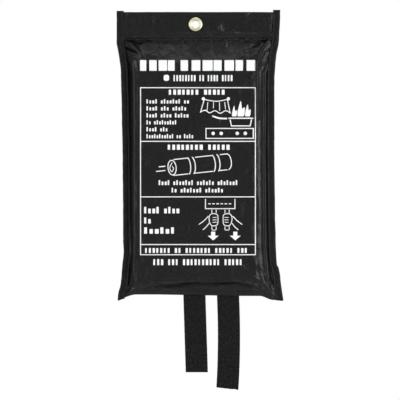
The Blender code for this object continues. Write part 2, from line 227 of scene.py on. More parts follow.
def grid_faces(rows, columns, flip=False):
    index = np.arange(rows * columns).reshape(rows, columns)
    faces = np.stack([index[:-1, :-1], index[1:, :-1], index[1:, 1:], index[:-1, 1:]], -1).reshape(-1, 4)
    return faces[:, ::-1] if flip else faces


def solidify(obj, thickness):
    modifier = obj.modifiers.new("thickness", "SOLIDIFY")
    modifier.thickness = thickness
    modifier.offset = 0.0


def bevel(obj, width, segments):
    modifier = obj.modifiers.new("rounding", "BEVEL")
    modifier.width = width
    modifier.segments = segments
    return modifier


def cloth_object(name, points, material, thickness, across, along, flip=False):
    """A sheet over a grid of points. Its UV map says where each lies across and along the flat cloth."""
    obj = mesh_object(name, points, grid_faces(*points.shape[:2], flip), material)
    uv = np.stack(np.broadcast_arrays(across, along), -1).astype(np.float32).reshape(-1, 2)
    corners = np.zeros(len(obj.data.loops), np.int32)
    obj.data.loops.foreach_get("vertex_index", corners)
    obj.data.uv_layers.new(name="cloth").data.foreach_set("uv", uv[corners].ravel())
    solidify(obj, thickness)
    return obj


# Materials


def set_inputs(tree, node, inputs):
    """Each input is a value, or another node's output to link."""
    for socket, value in inputs.items():
        if isinstance(value, bpy.types.NodeSocket):
            tree.links.new(value, node.inputs[socket])
        else:
            node.inputs[socket].default_value = value


def add_node(tree, kind, inputs=None, **settings):
    node = tree.nodes.new(kind)
    for name, value in settings.items():
        setattr(node, name, value)
    set_inputs(tree, node, inputs or {})
    return node


class Painter:
    """A Principled material with short ways to add the nodes that its detail needs."""

    def __init__(self, name, color, roughness, metallic=0.0, specular=0.5):
        self.material = bpy.data.materials.new(name)
        self.material.use_nodes = True
        self.tree = self.material.node_tree
        self.shader = self.tree.nodes["Principled BSDF"]
        self.put({"Base Color": (*color, 1.0), "Roughness": roughness, "Metallic": metallic,
                  "Specular IOR Level": specular})

    def put(self, inputs):
        set_inputs(self.tree, self.shader, inputs)

    def node(self, kind, inputs=None, **settings):
        return add_node(self.tree, kind, inputs, **settings)

    def math(self, operation, *values):
        return self.node("ShaderNodeMath", dict(enumerate(values)), operation=operation).outputs[0]

    def cloth_axes(self):
        """The UV map's two directions, in metres."""
        uv = self.node("ShaderNodeUVMap", uv_map="cloth").outputs[0]
        axes = self.node("ShaderNodeSeparateXYZ", {0: uv})
        return axes.outputs[0], axes.outputs[1]

    def wave(self, axis, pitch):
        return self.math("SINE", self.math("MULTIPLY", axis, 2 * math.pi / pitch))

    def noise(self, scale, stretch=(1, 1, 1), detail=3.0, uv=True):
        """Noise over the UV map, or else the object, finer along the axes that stretch makes longer."""
        if uv:
            source = self.node("ShaderNodeUVMap", uv_map="cloth").outputs[0]
        else:
            source = self.node("ShaderNodeTexCoord").outputs["Object"]
        place = self.node("ShaderNodeMapping", {0: source, "Scale": stretch}).outputs[0]
        inputs = {"Vector": place, "Scale": scale, "Detail": detail}
        return self.node("ShaderNodeTexNoise", inputs).outputs["Fac"]

    def bump(self, height, depth):
        """Adds a bump of this depth in metres to those already there."""
        inputs = {"Height": height, "Distance": depth, "Strength": 1.0}
        before = self.shader.inputs["Normal"].links
        if before:
            inputs["Normal"] = before[0].from_socket
        self.put({"Normal": self.node("ShaderNodeBump", inputs).outputs[0]})

    def between(self, amount, first, second, socket):
        """Lets a socket run between two values or colours as amount goes from 0.3 to 0.7."""
        inputs = {"Value": amount, "From Min": 0.3, "From Max": 0.7}
        if socket == "Base Color":
            share = self.node("ShaderNodeMapRange", inputs).outputs[0]
            colors = {"Factor": share, "A": (*first, 1), "B": (*second, 1)}
            result = self.node("ShaderNodeMix", colors, data_type="RGBA").outputs["Result"]
        else:
            result = self.node("ShaderNodeMapRange", {**inputs, "To Min": first, "To Max": second}).outputs[0]
        self.put({socket: result})


def oxford_material():
    """Black coated oxford cloth: a fine plain weave, with fainter thicker threads across."""
    paint = Painter("black_oxford", (0.005, 0.005, 0.0053), 0.34, specular=0.25)
    across, along = paint.cloth_axes()
    paint.bump(paint.math("MULTIPLY", paint.wave(across, 0.0011), paint.wave(along, 0.0009)), 0.00002)
    paint.bump(paint.noise(110, (1, 9, 1)), 0.0002)
    paint.bump(paint.noise(45, detail=4.0), 0.004)
    paint.bump(paint.noise(480, (1, 3, 1), 2.0), 0.00007)
    paint.between(paint.noise(80, (1, 9, 1), 4.0), 0.28, 0.38, "Roughness")
    paint.between(paint.noise(330, (1, 3, 1), 4.0), (0, 0, 0), (0.01, 0.01, 0.0106), "Base Color")
    return paint.material


def tape_material():
    """Black grosgrain, ribbed across."""
    paint = Painter("black_grosgrain", (0.003, 0.003, 0.0032), 0.46, specular=0.17)
    across, along = paint.cloth_axes()
    paint.bump(paint.wave(along, 0.0009), 0.00003)
    paint.bump(paint.wave(across, 0.0004), 0.00001)
    paint.bump(paint.noise(90), 0.0022)
    paint.bump(paint.noise(450, detail=2.0), 0.00005)
    paint.between(paint.noise(120), 0.38, 0.54, "Roughness")
    return paint.material


def webbing_material():
    """Black twill webbing."""
    paint = Painter("black_twill", (0.003, 0.003, 0.0032), 0.6, specular=0.11)
    across, along = paint.cloth_axes()
    paint.bump(paint.wave(paint.math("ADD", across, along), 0.0013), 0.00005)
    paint.bump(paint.wave(along, 0.0007), 0.00003)
    paint.bump(paint.noise(60), 0.0015)
    paint.bump(paint.noise(420, (1, 2, 1), 2.0), 0.0001)
    paint.between(paint.noise(420), (0, 0, 0), (0.01, 0.01, 0.0105), "Base Color")
    return paint.material


def thread_material():
    paint = Painter("black_thread", (0.003, 0.003, 0.0033), 0.55, specular=0.12)
    paint.bump(paint.noise(2500, detail=1.0, uv=False), 0.0001)
    return paint.material


def brass_material():
    """Pale polished brass with fine wear."""
    paint = Painter("pale_brass", (0.66, 0.63, 0.44), 0.48, 1.0)
    paint.between(paint.noise(300, detail=4.0, uv=False), 0.42, 0.54, "Roughness")
    paint.bump(paint.noise(900, detail=2.0, uv=False), 0.00003)
    return paint.material


def glass_material():
    """White glass-fibre cloth in a plain weave."""
    paint = Painter("glass_cloth", (0.8, 0.79, 0.75), 0.6)
    across, along = paint.cloth_axes()
    paint.bump(paint.math("MULTIPLY", paint.wave(across, 0.0024), paint.wave(along, 0.0024)), 0.00012)
    paint.bump(paint.noise(50, detail=4.0), 0.0008)
    paint.between(paint.noise(14, detail=5.0), (0.74, 0.73, 0.68), (0.84, 0.83, 0.79), "Base Color")
    return paint.material


def print_material():
    """White screen print, thin enough for the weave to show through it."""
    paint = Painter("white_print", (0.74, 0.745, 0.75), 0.5)
    paint.bump(paint.noise(1500, detail=1.0, uv=False), 0.00005)
    specks = paint.noise(500, detail=4.0, uv=False)
    paint.between(specks, (0.68, 0.685, 0.69), (0.78, 0.785, 0.79), "Base Color")
    return paint.material


OXFORD = oxford_material()
GROSGRAIN = tape_material()
TWILL = webbing_material()
THREAD_LOOK = thread_material()
BRASS = brass_material()
GLASS = glass_material()
PRINT = print_material()


# Panels


def even_steps(values, depths, count):
    """count of the values, evenly spaced along the path of (value, depth), and the path's length."""
    lengths = np.concatenate([[0], np.cumsum(np.hypot(np.diff(values), np.diff(depths)))])
    return np.interp(np.linspace(0, lengths[-1], count), lengths, values), lengths[-1]


def draped_start(facing):
    """The panel's points before the simulation, and the same points in the flat cloth."""
    fine = np.linspace(PANEL_TOP, MOUTH, 400)
    heights, height = even_steps(fine, swell(0.0, fine), SIM_ROWS + 1)
    start = np.zeros((SIM_ROWS + 1, SIM_COLUMNS + 1, 3))
    flat = np.zeros_like(start)
    for row, z in enumerate(heights):
        fine_u = np.linspace(0.0013 - reach(-1, z), reach(1, z) - 0.0013, 600)
        u, _ = even_steps(fine_u, swell(fine_u, z), SIM_COLUMNS + 1)
        low = z - corner_drop(u, z)
        start[row] = np.stack([u, facing * swell(u, z) + seam_wave(u, low), low], -1)
        flat[row, :, 0] = np.linspace(-FLAT_HALF, FLAT_HALF, SIM_COLUMNS + 1)
        flat[row, :, 2] = -height * FLAT_SLACK * row / SIM_ROWS
    return start, flat


def held_points(start):
    """The points under the tapes, in the header and along the mouth, which the simulation holds."""
    held = inset(start[..., 0], start[..., 2]) < TAPE_WIDTH - 0.001
    held |= start[..., 2] > SEAM
    held[-1] = True
    return held


def pack_for_collision():
    """The pack as a plain rounded block, which only the simulation uses."""
    size = PACK_HIGH - PACK_LOW - Vector((0, 0.0012, 0))
    middle = (PACK_HIGH + PACK_LOW) / 2 - Vector((POUCH_X, 0, 0))
    bm = bmesh.new()
    bmesh.ops.create_cube(bm, size=1)
    bmesh.ops.scale(bm, verts=bm.verts, vec=size)
    bmesh.ops.translate(bm, verts=bm.verts, vec=(middle.x + PACK_SHIFT, 0, middle.z))
    pack = from_bmesh("pack", bm)
    bevel(pack, 0.0045, 4)
    pack.modifiers.new("collision", "COLLISION")
    pack.collision.thickness_outer = 0.0004
    pack.collision.cloth_friction = 8
    pack.collision.use_culling = False
    return pack


def simulate(start, flat, facing):
    """Lets the cloth settle over the pack and returns its points."""
    pack = pack_for_collision()
    cloth = mesh_object("cloth", start, grid_faces(SIM_ROWS + 1, SIM_COLUMNS + 1, facing > 0))
    cloth.shape_key_add(name="Basis")
    cut = cloth.shape_key_add(name="cut")
    cut.data.foreach_set("co", flat.ravel())
    group = cloth.vertex_groups.new(name="held")
    group.add(np.flatnonzero(held_points(start).ravel()).tolist(), 1.0, "REPLACE")
    modifier = cloth.modifiers.new("cloth", "CLOTH")
    for name, value in CLOTH_SETTINGS.items():
        setattr(modifier.settings, name, value)
    modifier.settings.rest_shape_key = cut
    modifier.settings.effector_weights.gravity = 0
    modifier.collision_settings.distance_min = 0.0007
    modifier.collision_settings.collision_quality = 3
    modifier.point_cache.frame_start = 1
    modifier.point_cache.frame_end = SIM_FRAMES
    for number in range(1, SIM_FRAMES + 1):
        bpy.context.scene.frame_set(number)
    settled = cloth.evaluated_get(bpy.context.evaluated_depsgraph_get())
    points = np.empty(start.size, np.float32)
    settled.data.vertices.foreach_get("co", points)
    for obj in (cloth, pack):
        bpy.data.objects.remove(obj)
    bpy.context.scene.frame_set(1)
    return points.reshape(start.shape).astype(float)


def spline(a, b, c, d, t):
    """Between b and c, on a smooth curve through all four."""
    return 0.5 * (2 * b + (c - a) * t + (2 * a - 5 * b + 4 * c - d) * t**2 + (3 * b - a - 3 * c + d) * t**3)


def sample(grid, axis, places):
    """The grid at places along one axis, counted in rows or columns, on smooth curves through the points."""
    g = np.moveaxis(grid, axis, 0)
    g = np.concatenate([2 * g[:1] - g[1:2], g, 2 * g[-1:] - g[-2:-1]])
    first = np.clip(places.astype(int), 0, len(g) - 4)
    t = (places - first).reshape(-1, *(1,) * (g.ndim - 1))
    return np.moveaxis(spline(*(g[first + k] for k in range(4)), t), 0, axis)


def fine_places(count, finest, middle_step, edges):
    """Places along an axis of count steps: finest in a share of it at each end, and larger between."""
    start, end = count * edges[0], count * (1 - edges[1])
    parts = ((0, start, finest), (start, end, middle_step), (end, count, finest))
    places = [np.linspace(low, high, round((high - low) / step), endpoint=False) for low, high, step in parts]
    return np.concatenate([*places, [count]])


def refine(grid):
    """Finer rows near both ends, where the creases are, and finer columns near both sides."""
    grid = sample(grid, 0, fine_places(SIM_ROWS, 0.25, 0.8, (0.12, 0.085)))
    return sample(grid, 1, fine_places(SIM_COLUMNS, 0.28, 0.6, (0.18, 0.18)))


def crest(u, z, width, height, *path):
    """The height of a crease along a path of (u, z) in millimetres, which fades out at both ends."""
    path = np.array(path) * 0.001
    lengths = np.hypot(*np.diff(path, axis=0).T)
    total = lengths.sum()
    best = np.full(u.shape, 1e9)
    share = np.zeros(u.shape)
    done = 0.0
    for start, end, length in zip(path, path[1:], lengths):
        du, dz = (end - start) / length
        along = np.clip((u - start[0]) * du + (z - start[1]) * dz, 0, length)
        distance = np.hypot(u - start[0] - along * du, z - start[1] - along * dz)
        nearer = distance < best
        best = np.where(nearer, distance, best)
        share = np.where(nearer, (done + along) / total, share)
        done += length
    fade = smooth(np.minimum(share, 1 - share) * total, -0.001, min(total / 2, FADE))
    return height * 0.001 * np.exp(-((best / (width * 0.001)) ** 2)) * fade


def creases(u, z, table):
    return sum(crest(u, z, *crease) for crease in table)


# Creases as the half width, the height, and the path's points of (u, z), all in millimetres. A negative
# height is a valley.
FADE = 0.009
FRONT_CREASES = (
    # upper left: a sharp valley that comes off the tape, with a fold on each side of it
    (1.1, -4.2, (-86, -23), (-82.5, -26.4), (-76, -29.2), (-66, -34)),
    (2.2, 3.0, (-83, -18.5), (-76, -22.5), (-68, -29), (-63, -36)),
    (1.6, 3.0, (-82, -31), (-75, -36.3), (-71, -37.8), (-64, -35.5)),
    (1.8, 0.5, (-60, -20), (-58, -27), (-59, -36)),
    # the deep groove beside the left tape, and the shallower ones beside the right tape
    (2.0, -3.0, (-81, -37), (-79.5, -43), (-78.3, -60), (-76.9, -150), (-76.9, -250), (-79.5, -298)),
    (2.2, -1.6, (-78.5, -37), (-76.2, -46), (-75.4, -64), (-75.5, -100)),
    (2.3, 2.0, (-75, -42), (-72.3, -56), (-71.6, -150), (-71.4, -250), (-73, -288)),
    (1.6, -1.8, (79, -42), (73.2, -56), (72.8, -150), (73.5, -250), (77, -292)),
    (1.1, 0.8, (80, -44), (76.0, -58), (75.6, -150), (76.5, -250), (80, -292)),
    (1.3, -1.1, (84, -40), (79.2, -60), (78.8, -150), (79.8, -250), (83, -290)),
    # upper right: a thin crest with a valley above it, and puckers at the shoulder
    (1.1, 2.8, (83, -14), (77.4, -20.4), (72.8, -26.9), (68.5, -34.4), (66.4, -44), (66.6, -60),
     (67.4, -110)),
    (2.2, -1.6, (82, -27), (76, -33), (72, -42), (71, -56)),
    (1.6, -2.4, (80, -15.5), (71, -18.5), (65.2, -23.2), (57, -26)),
    (1.1, -1.0, (68, -45.5), (73, -44.6), (81, -43.4)),
    (1.1, -0.8, (68, -50), (73, -51.5), (79, -53)),
    (1.0, 0.6, (69, -47.5), (74, -47.8), (80, -48)),
    # lower left corner
    (1.8, 1.1, (-64, -297), (-74, -299), (-88, -307)),
    (1.6, -1.1, (-72, -288), (-79, -299), (-84, -305)),
    (3.2, 0.6, (-56, -272), (-53, -281), (-60, -291)),
    # lower right corner
    (1.8, 1.2, (64, -272), (66, -288), (73, -297), (82, -305)),
    (1.4, -0.9, (62, -296), (72, -301), (80, -306)),
    (1.4, -1.2, (70, -274), (76, -286), (86, -302)),
    (1.2, 0.8, (76, -276), (81, -288), (90, -303)),
    # the edge of the pack, where the panel turns in
    (1.6, 1.6, (-70, -299), (-62, -293.1), (-51.7, -291.7), (-40.5, -291.3), (-22, -290.7), (-15, -289.4),
     (8, -289.2), (45, -289), (49, -291), (64, -292.3), (74, -299)),
    (1.5, -1.8, (-62, -297), (-51.7, -294.9), (-22, -293.6), (-15, -292.2), (45, -291.9), (60, -295.4),
     (68, -298)),
    # a fold in the front lip
    (1.2, 1.0, (-51, -303), (-40.5, -298.2), (-33, -296.6), (-28.3, -297.8), (-18, -303)),
)
BACK_CREASES = (
    (1.8, 1.2, (84, -18), (76, -26), (66, -38)),
    (1.7, -1.5, (-82, -17), (-72, -26), (-64, -36)),
    (1.6, 1.0, (-80, -24), (-73, -34), (-66, -42)),
    (2.4, -1.6, (-78, -45), (-77.5, -150), (-78.5, -290)),
    (2.4, -1.6, (78, -45), (77, -150), (78, -290)),
    (1.8, 1.2, (-70, -286), (-78, -296), (-87, -305)),
    (1.8, -1.2, (68, -287), (77, -297), (86, -305)),
    (1.5, 0.7, (-66, -297), (-50, -291.5), (0, -290), (50, -291), (70, -298)),
)
# Those that cross the front of a tape
TAPE_CREASES = (
    (1.3, -1.0, (-93, -18), (-88, -22.5), (-84, -26), (-81, -28)),
    (1.5, 0.6, (-92, -24), (-87, -28), (-82, -32)),
    (1.2, -0.7, (-92, -294), (-86, -297.5), (-80, -301)),
    (1.2, -0.7, (93, -284), (88, -293), (84, -302)),
    (1.1, -0.6, (82, -17), (88, -18.5), (94, -20)),
)


def detail(u, z, facing):
    """The small shapes that are finer than the simulation: creases, and puckers below the header's seam."""
    out = creases(u, z, FRONT_CREASES if facing < 0 else BACK_CREASES)
    below = np.clip(SEAM - z, 0, 1)
    pucker = ripple(u, z * 0.15, 210, 2.0 + facing) * 0.0012 + ripple(u, z * 0.2, 90, 7.0 + facing) * 0.0009
    out += pucker * np.exp(-((below - 0.003) / 0.009) ** 2) * smooth(below, 0, 0.0015)
    out += 0.00035 * ripple(u, z, 45, 20.0 + facing) + 0.00012 * ripple(u, z, 150, 25.0 + facing)
    return out * smooth(inset(u, z), TAPE_WIDTH - 0.001, TAPE_WIDTH + 0.002)


def with_hem(grid, facing):
    """Adds the rows of the hem, which turns in at the mouth and runs up inside the panel."""
    turned = 0.00052
    inwards = np.array([0.0, -facing * turned, 0.0])
    tip = grid[-1] + inwards / 2 + np.array([0.0, 0.0, -turned / 2])
    return np.concatenate([grid, tip[None], grid[-2:-2 - HEM_ROWS:-1] + inwards])


def blend_to_lip(obj, lip):
    """Lets a piece follow its lip: all the way between the corners, and not at all in them."""
    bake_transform(obj, "pouch", lip, start=(POUCH_X, 0, FOLD + 0.004), end=(POUCH_X, 0, FOLD - 0.006))
    points = np.array([v.co for v in obj.data.vertices])
    share = np.zeros(len(points), np.float32)
    attribute = obj.data.attributes["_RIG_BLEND"]
    attribute.data.foreach_get("value", share)
    share *= 1 - smooth(np.abs(points[:, 0] - POUCH_X), 0.056, 0.077)
    attribute.data.foreach_set("value", share)


def make_panel(facing, side_name):
    start, flat = draped_start(facing)
    points = simulate(start, flat, facing)
    points, cut = refine(points), refine(flat)
    u, z = points[..., 0], points[..., 2]
    points[..., 1] += facing * detail(u, z, facing)
    points = with_hem(points, facing)
    hem = cut[-2:-2 - HEM_ROWS:-1]
    cut = np.concatenate([cut, cut[-1:] - 0.0005, cut[-1:] - (hem - cut[-1:]) * [0, 0, 1]])
    points[..., 0] += POUCH_X
    name = f"{side_name}_panel_cloth"
    panel = cloth_object(name, points, OXFORD, CLOTH, cut[0, :, 0], cut[..., 2], facing > 0)
    blend_to_lip(panel, f"{side_name}_lip")
    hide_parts(f"{side_name}_panel", f"{side_name}_lip")
    return surface_of(panel)


# Header


def header_depth(z):
    """From the seam plane to the middle of the header's cloth."""
    return HEADER_INNER + (HEADER_OUTER - HEADER_INNER) * smooth(-z, 0.0082, 0.0115)


STITCH_HEIGHT = SEAM + 0.0018
STITCH_PITCH = 0.0027
STITCH_START = TAPE_WIDTH - reach(-1, STITCH_HEIGHT) + 0.001
HEADER_CREASES = (
    (1.5, 0.8, (18, 3), (24, -1), (26, -9)),
    (1.4, 0.7, (8, -3), (13, -10), (16, -16)),
    (1.2, 0.6, (17, -15), (20, -9), (27, -6)),
    (3.0, 0.6, (-78, 2), (-60, 4), (-40, 1)),
    (2.2, 0.6, (-70, -10), (-52, -7), (-30, -9)),
    (3.0, 0.6, (40, 9), (60, 3), (80, 6)),
    (2.0, -0.5, (36, -6), (54, -10), (76, -8)),
    (1.0, 0.5, (-83.2, 15), (-83.2, 0), (-83.4, -17)),
    (1.0, 0.6, (82.4, 15), (82.2, 0), (81.8, -17)),
)


def header_side(u, z, facing):
    """Depth and height of the header's front or back: creases, sunk stitches and a loose lower edge."""
    lift = creases(u, z, HEADER_CREASES) + 0.0003 * ripple(u, z, 60, 3.0 + facing)
    edge = smooth(-z, -STITCH_HEIGHT, -SEAM)
    loose = edge * (0.0005 + 0.0013 * np.abs(ripple(u, z, 90, 8.0)))
    if facing < 0:
        loose += edge * 0.0017 * smooth(-u, 0.050, 0.058) * (1 - smooth(-u, 0.079, 0.083))
        loose += edge * 0.0012 * smooth(u, 0.070, 0.075)
    near_stitches = np.exp(-(((z - STITCH_HEIGHT) / 0.0008) ** 2))
    holes = np.cos(math.pi * (u - STITCH_START) / STITCH_PITCH) ** 4 * (1 + ripple(u, 0.0, 240, 12.0))
    sunk = 0.0011 * near_stitches * (0.2 + 0.8 * holes)
    away_from_eyelet = smooth(np.hypot(u + POUCH_X, z), 0.009, 0.016)
    ragged = edge * 0.0011 * ripple(u, 0.0, 190, 1.0 + facing)
    return facing * (header_depth(z) + (lift + loose - sunk) * away_from_eyelet), z + ragged


def make_header():
    """A strip folded over the top, with the eyelet's hole cut through both layers."""
    share = np.linspace(-1, 1, 300)
    top = HEADER_TOP - 0.0009
    near_seam = SEAM + 0.005
    heights = np.concatenate([np.linspace(SEAM, near_seam, 14)[:-1], np.linspace(near_seam, top, 26)])
    fold_angles = np.linspace(0, math.pi, 7)[1:-1]
    rows = []
    for facing, values in ((-1, heights), (0, fold_angles), (1, heights[::-1])):
        for value in values:
            z = np.full(share.shape, value if facing else top + 0.00065 * math.sin(value))
            u = share * (np.where(share < 0, reach(-1, z), reach(1, z)) - 0.0012)
            if facing:
                y, z = header_side(u, z, facing)
            else:
                y = -HEADER_INNER * math.cos(value)
            sag = 0.0004 * smooth(z, 0.0, HEADER_TOP) * ripple(u, 0.0, 14, 6.0)
            rows.append(np.stack([u + POUCH_X, y + seam_wave(u, z), z + sag], -1))
    points = np.array(rows)
    along = np.linspace(0, HEADER_CUT, len(rows))[:, None]
    header = cloth_object("header_cloth", points, OXFORD, TAPE, points[..., 0] - POUCH_X, along, True)
    outline = [(0.0, 0.01), (HEADER_HOLE, 0.01), (HEADER_HOLE, -0.01), (0.0, -0.01)]
    cutter = lathe("hole_cutter", outline, None, 64)
    hole = header.modifiers.new("hole", "BOOLEAN")
    hole.object = cutter
    hole.solver = "EXACT"
    apply_modifiers(header)
    bpy.data.objects.remove(cutter)
    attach(header, "pouch")
    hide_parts("header_band")


def apply_modifiers(obj):
    """Replaces the object's mesh with what its modifiers make of it."""
    evaluated = obj.evaluated_get(bpy.context.evaluated_depsgraph_get())
    mesh = bpy.data.meshes.new_from_object(evaluated)
    old = obj.data
    obj.modifiers.clear()
    obj.data = mesh
    bpy.data.meshes.remove(old)
    mesh.name = obj.name


# Tapes


def tape_depth(z):
    """From the seam plane to the middle of a tape's flat side."""
    window = smooth(-z, 0.0065, 0.0105) * (1 - smooth(-z, 0.0185, 0.0215))
    return TAPE_OVER_PANEL + (TAPE_OVER_HEADER - TAPE_OVER_PANEL) * window


def tape_reach(side, z):
    """A tape's outer edge. The right one's lower end is a second layer that sticks out."""
    ear = 0.0014 * smooth(-z, 0.2708, 0.2738) * (1 - smooth(-z, 0.279, 0.297)) if side > 0 else 0.0
    return reach(side, z) + ear + 0.00018 * ripple(z, 0.0, 130, 5.0 + side)


def tape_relief(side, value, z):
    """Across a tape: puckers, the groove that the stitching pulls in, and a lifted selvedge inside it."""
    groove = 0.00032 * np.exp(-(((value - TAPE_WIDTH + TAPE_STITCH) / 0.0007) ** 2))
    selvedge = 0.00025 * np.exp(-(((value - TAPE_WIDTH) / 0.0007) ** 2))
    pucker = 0.00025 * ripple(z, 0.0, 260, 11.0 + side) + 0.0004 * ripple(z, 0.0, 90, 15.0 + side)
    return (pucker * (0.4 + value / TAPE_WIDTH) - groove + selvedge) * smooth(value, 0.001, 0.003)


def make_tape(side, side_name):
    """A tape folded round a side seam: each row is a flat front, a round fold and a flat back."""
    heights = np.linspace(TAPE_TOP[side], TAPE_BOTTOM, 230)
    depth = tape_depth(heights)
    center = TAPE / 2 + depth
    insets = [center + (TAPE_WIDTH - center) * share for share in np.linspace(1, 0, 17)[:-1]]
    rows = [(value, -depth) for value in insets]
    rows += [(center - depth * math.sin(a), -depth * math.cos(a)) for a in np.linspace(0, math.pi, 9)]
    rows += [(value, depth) for value in insets[::-1]]
    points = []
    for value, y in rows:
        u = side * (tape_reach(side, heights) - value)
        y = y + np.sign(y) * tape_relief(side, value, heights)
        if y[0] < 0:
            y = y - creases(u, heights, TAPE_CREASES)
        points.append(np.stack([u + POUCH_X, y + seam_wave(u, heights), heights], -1))
    points = np.array(points)
    lean = 0.0016 * (points[..., 0] - POUCH_X) * side / 0.09 * smooth(-heights, 0.300, 0.309)
    points[..., 2] -= lean
    slant = TAPE_SLANT[side] * np.array([value for value, y in rows]) / TAPE_WIDTH
    points[..., 2] += slant * smooth(-heights, 0.302, -TAPE_BOTTOM)
    across = np.linspace(0, TAPE_CUT, len(rows))[:, None]
    tape = cloth_object(f"{side_name}_tape", points, GROSGRAIN, TAPE, across, heights, side > 0)
    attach(tape, "pouch")
    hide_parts(f"{side_name}_binding")


# Stitching


def stitch_shape():
    """One stitch along X, of length 1 and radius 1: the points and faces of an arched, pointed spindle."""
    sides = 6
    stations = ((-0.42, 0.75), (-0.2, 1.0), (0.2, 1.0), (0.42, 0.75))
    points = [(-0.5, 0.0, -1.2)]
    for x, radius in stations:
        arch = -1.2 * (2 * x) ** 2 + 0.3
        angles = [2 * math.pi * k / sides for k in range(sides)]
        points += [(x, radius * math.cos(a), radius * math.sin(a) + arch) for a in angles]
    points.append((0.5, 0.0, -1.2))
    last = len(points) - 1
    faces = []
    for k in range(sides):
        after = (k + 1) % sides
        faces.append((0, 1 + after, 1 + k))
        for here in range(1, last - sides, sides):
            there = here + sides
            faces.append((here + k, here + after, there + after, there + k))
        faces.append((last - sides + k, last - sides + after, last))
    return np.array(points), faces


STITCH_POINTS, STITCH_FACES = stitch_shape()


def stitch_row(name, path, facing, pitch=STITCH_PITCH):
    """Stitches along a path of points on the outside of the cloth."""
    path = np.array(path, float)
    outward = np.array([0.0, facing, 0.0])
    lengths = np.concatenate([[0], np.cumsum(np.linalg.norm(np.diff(path, axis=0), axis=1))])
    points, faces = [], []
    for number in range(int(lengths[-1] / pitch)):
        place = (number + 0.5) * pitch
        ends = (place - STITCH / 2, place + STITCH / 2)
        start, end = np.array([np.interp(ends, lengths, axis) for axis in path.T]).T
        along = (end - start) / np.linalg.norm(end - start)
        across = np.cross(outward, along)
        across /= np.linalg.norm(across)
        along = along + 0.10 * math.sin(2.4 * number) * across
        turn = np.array([along, across, outward])
        points.append((start + end) / 2 + STITCH_POINTS * [STITCH, THREAD, THREAD] @ turn)
        faces += [tuple(i + number * len(STITCH_POINTS) for i in face) for face in STITCH_FACES]
    row = mesh_object(name, np.concatenate(points), faces, THREAD_LOOK)
    return row


def lathe(name, profile, material, steps):
    """A closed ring, or with ends on the axis a solid, turned about Y: (radius, distance to the front)."""
    bm = bmesh.new()
    corners = [bm.verts.new((radius, -front, 0)) for radius, front in profile]
    edges = [bm.edges.new(pair) for pair in zip(corners, corners[1:])]
    if profile[0][0] > 0:
        edges.append(bm.edges.new((corners[-1], corners[0])))
    bmesh.ops.spin(bm, geom=corners + edges, cent=(0, 0, 0), axis=(0, 1, 0), angle=2 * math.pi, steps=steps)
    bmesh.ops.remove_doubles(bm, verts=bm.verts, dist=1e-6)
    bmesh.ops.recalc_face_normals(bm, faces=bm.faces)
    turned = from_bmesh(name, bm, material)
    turned.data.shade_smooth()
    if material:
        turned.data.set_sharp_from_angle(angle=math.radians(50))
    return turned


def add_seam(name, node, u, z, depth):
    """A row of stitches on the front of a piece, which replaces the CAD's, and the same on its back."""
    for prefix, facing in (("", -1), ("back_", 1)):
        path = np.stack([u + POUCH_X, facing * depth + seam_wave(u, z), z], -1)
        row = stitch_row(f"{prefix}{name}", path, facing)
        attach(row, "pouch")
        if facing < 0:
            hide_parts(node)


def add_header_stitches():
    u = np.linspace(STITCH_START, reach(1, STITCH_HEIGHT) - TAPE_WIDTH - 0.001, 90)
    z = STITCH_HEIGHT + 0.0002 * ripple(u, 0.0, 60, 2.0)
    add_seam("header_stitches", "header_stitch", u, z, header_depth(z) + TAPE / 2 - 0.00005)


def add_tape_stitches(side, side_name):
    z = np.linspace(TAPE_TOP[side] - 0.002, TAPE_BOTTOM + 0.003, 230)
    u = side * (tape_reach(side, z) - TAPE_WIDTH + TAPE_STITCH)
    depth = tape_depth(z) + tape_relief(side, TAPE_WIDTH - TAPE_STITCH, z) + TAPE / 2
    add_seam(f"{side_name}_tape_stitches", f"{side_name}_binding_stitch", u, z, depth)


def surface_of(panel):
    """A tree for ray casts at a panel as it is now, thickness included."""
    return BVHTree.FromObject(panel, bpy.context.evaluated_depsgraph_get())


def on_surface(tree, x, z, facing):
    """Where the outside of a panel is in depth at a place."""
    hit, _, _, _ = tree.ray_cast(Vector((x, facing * 0.05, z)), Vector((0, -facing, 0)))
    return hit.y if hit else facing * PANEL_EDGE


def add_hem_stitches(facing, side_name, tree):
    z = MOUTH + 0.0045
    u = np.linspace(-0.070, 0.070, 120)
    heights = z - corner_drop(u, np.full(u.shape, z)) * 0.7
    path = [(x, on_surface(tree, x, h, facing) + facing * 0.0001, h) for x, h in zip(u + POUCH_X, heights)]
    row = stitch_row(f"{side_name}_hem_stitches", path, facing, pitch=0.003)
    blend_to_lip(row, f"{side_name}_lip")
    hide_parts(f"{side_name}_hem_stitch")


# Eyelet


def arc(middle, radius, start, end, count):
    """Points of (radius, distance to the front) round a middle, from one angle in degrees to another."""
    angles = np.radians(np.linspace(start, end, count))
    return [(middle[0] + radius * math.cos(a), middle[1] + radius * math.sin(a)) for a in angles]


def make_eyelet():
    low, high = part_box("eyelet")
    outer, front, back = high.x, -low.y, -high.y
    seat = HEADER_INNER + TAPE / 2 + 0.00005
    inner = EYELET_HOLE + 0.00055
    profile = [(inner, -(seat + 0.0008) + 0.0001), (inner, seat), (outer - 0.0004, seat)]
    profile += arc((outer - 0.00038, seat + 0.00038), 0.00038, -90, 60, 6)
    profile += arc((outer - 0.0019, front - 0.0022), 0.0022, 62, 104, 8)
    profile += arc((EYELET_HOLE + 0.0012, front - 0.0014), 0.0012, 100, 180, 8)
    profile += arc((EYELET_HOLE + 0.0010, back + 0.0010), 0.0010, 180, 270, 6)
    profile += arc((EYELET_HOLE + 0.0014, back + 0.0006), 0.0006, 270, 400, 5)
    eyelet = lathe("eyelet_ring", profile, BRASS, 128)
    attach(eyelet, "pouch")
    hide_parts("eyelet")


